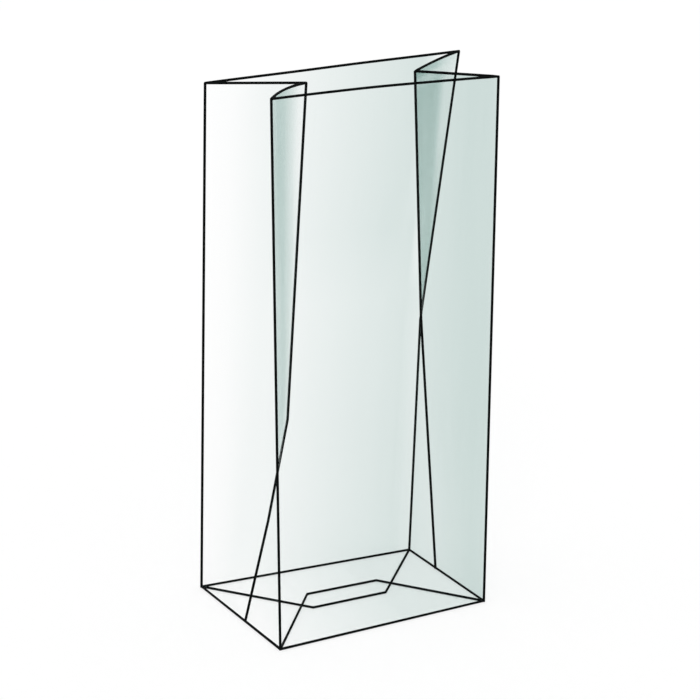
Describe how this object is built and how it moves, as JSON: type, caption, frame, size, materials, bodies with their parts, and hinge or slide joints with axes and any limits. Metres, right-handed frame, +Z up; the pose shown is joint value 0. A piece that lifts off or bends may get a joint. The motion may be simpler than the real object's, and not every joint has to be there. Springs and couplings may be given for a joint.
{
  "type": "cellophane bag",
  "caption": "Clear film bag that stands by itself, with tucked side gussets, a folded block bottom and an open mouth.",
  "frame": {"origin": "middle of the base, on the underside that the bag stands on", "axes": "+Z up towards the mouth, -Y out of the front panel, +X to the right seen from the front"},
  "size_m": [0.1058, 0.0615, 0.2195],
  "materials": {
    "film": "thin clear glossy cellulose film, folded, with a faint grey-green cast"
  },
  "bodies": {
    "root": {"film_bag": "film"}
  },
  "joints": []
}
